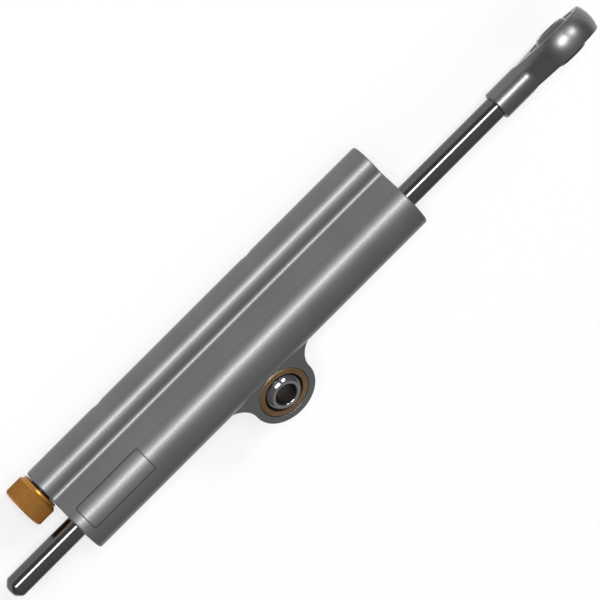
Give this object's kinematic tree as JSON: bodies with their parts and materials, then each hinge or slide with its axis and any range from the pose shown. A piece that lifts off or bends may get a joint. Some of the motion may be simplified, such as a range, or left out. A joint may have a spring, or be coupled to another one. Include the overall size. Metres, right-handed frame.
{
  "type": "steering damper",
  "caption": "Through-rod hydraulic steering damper: twin-tube grey body with a swivel ear, ribbed gold adjuster knob, sliding rod and swivel rod end.",
  "frame": {"origin": "centre of the ear's ball, on its bolt axis", "axes": "+Z along the ear's bolt axis, +X along the rod towards the rod end, +Y from the ear to the rod"},
  "size_m": [0.2681, 0.0521, 0.0314],
  "materials": {
    "grey_anodised": "satin titanium-grey anodising on extruded aluminium",
    "bearing_bronze": "satin machined bronze",
    "polished_steel": "polished hardened steel",
    "chromed_rod": "ground and hard-chromed steel",
    "satin_steel": "satin plated steel",
    "gold_anodised": "satin gold anodising",
    "machined_aluminium": "turned, not anodised",
    "seal_rubber": "matt black moulded rubber",
    "black_spring_steel": "oiled black spring steel",
    "valve_brass": "turned brass",
    "filled_ptfe": "bronze-filled PTFE"
  },
  "bodies": {
    "housing": {"damper_body": "grey_anodised", "ear_race": "bearing_bronze", "knob_end_guide": "machined_aluminium", "knob_end_bush": "bearing_bronze", "knob_end_seal": "seal_rubber", "knob_end_wiper": "seal_rubber", "knob_end_o_ring": "seal_rubber", "knob_end_retaining_ring": "black_spring_steel", "rod_end_guide": "machined_aluminium", "rod_end_bush": "bearing_bronze", "rod_end_seal": "seal_rubber", "rod_end_wiper": "seal_rubber", "rod_end_o_ring": "seal_rubber", "rod_end_retaining_ring": "black_spring_steel", "adjuster_housing": "black_spring_steel", "housing_o_ring": "seal_rubber", "needle_guide": "valve_brass", "valve_seat": "valve_brass", "separator_spring": "black_spring_steel", "end_plug": "machined_aluminium", "end_plug_o_ring": "seal_rubber", "end_plug_ring": "black_spring_steel", "drilling_screws": "satin_steel"},
    "ear_swivel_ball": {"ear_ball": "polished_steel"},
    "band": {"piston_band": "filled_ptfe"},
    "rod": {"piston_rod": "chromed_rod", "piston": "machined_aluminium", "piston_clips": "black_spring_steel", "rod_end": "satin_steel", "rod_end_race": "bearing_bronze"},
    "rod_swivel_ball": {"rod_end_ball": "polished_steel"},
    "knob": {"adjuster_knob": "gold_anodised", "knob_screw": "black_spring_steel", "adjuster_shaft": "satin_steel", "shaft_o_ring": "seal_rubber", "detent_ball": "polished_steel", "detent_spring": "black_spring_steel"},
    "needle": {"valve_needle": "polished_steel"},
    "separator": {"separator_piston": "machined_aluminium", "separator_o_ring": "seal_rubber"}
  },
  "joints": [
    {"name": "ear_swivel", "type": "hinge", "parent": "housing", "child": "ear_swivel_ball", "pos_m": [0, 0, 0], "axis": [0, 0, 1], "continuous": true},
    {"name": "rod_slide", "type": "slide", "parent": "housing", "child": "band", "axis": [1, 0, 0], "range_m": [-0.039, 0.029]},
    {"name": "rod_spin", "type": "hinge", "parent": "band", "child": "rod", "pos_m": [0, 0.02, 0], "axis": [1, 0, 0], "continuous": true},
    {"name": "rod_end_swivel", "type": "hinge", "parent": "rod", "child": "rod_swivel_ball", "pos_m": [0.1458, 0.02, 0], "axis": [0, -0.7581, 0.6521], "continuous": true},
    {"name": "knob_turn", "type": "hinge", "parent": "housing", "child": "knob", "pos_m": [-0.0785, 0.03214, -0.01132], "axis": [1, 0, 0], "range_deg": [-720, 720]},
    {"name": "needle_travel", "type": "slide", "parent": "housing", "child": "needle", "axis": [1, 0, 0], "range_m": [-0.001, 0.001]},
    {"name": "separator_slide", "type": "slide", "parent": "housing", "child": "separator", "axis": [1, 0, 0], "range_m": [-0.002, 0.003], "stiffness_N_per_m": 600, "deforming": ["separator_spring"]}
  ],
  "couplings": [
    {"joint": "needle_travel", "follows": "knob_turn", "m_per_rad": 0.000079577}
  ]
}
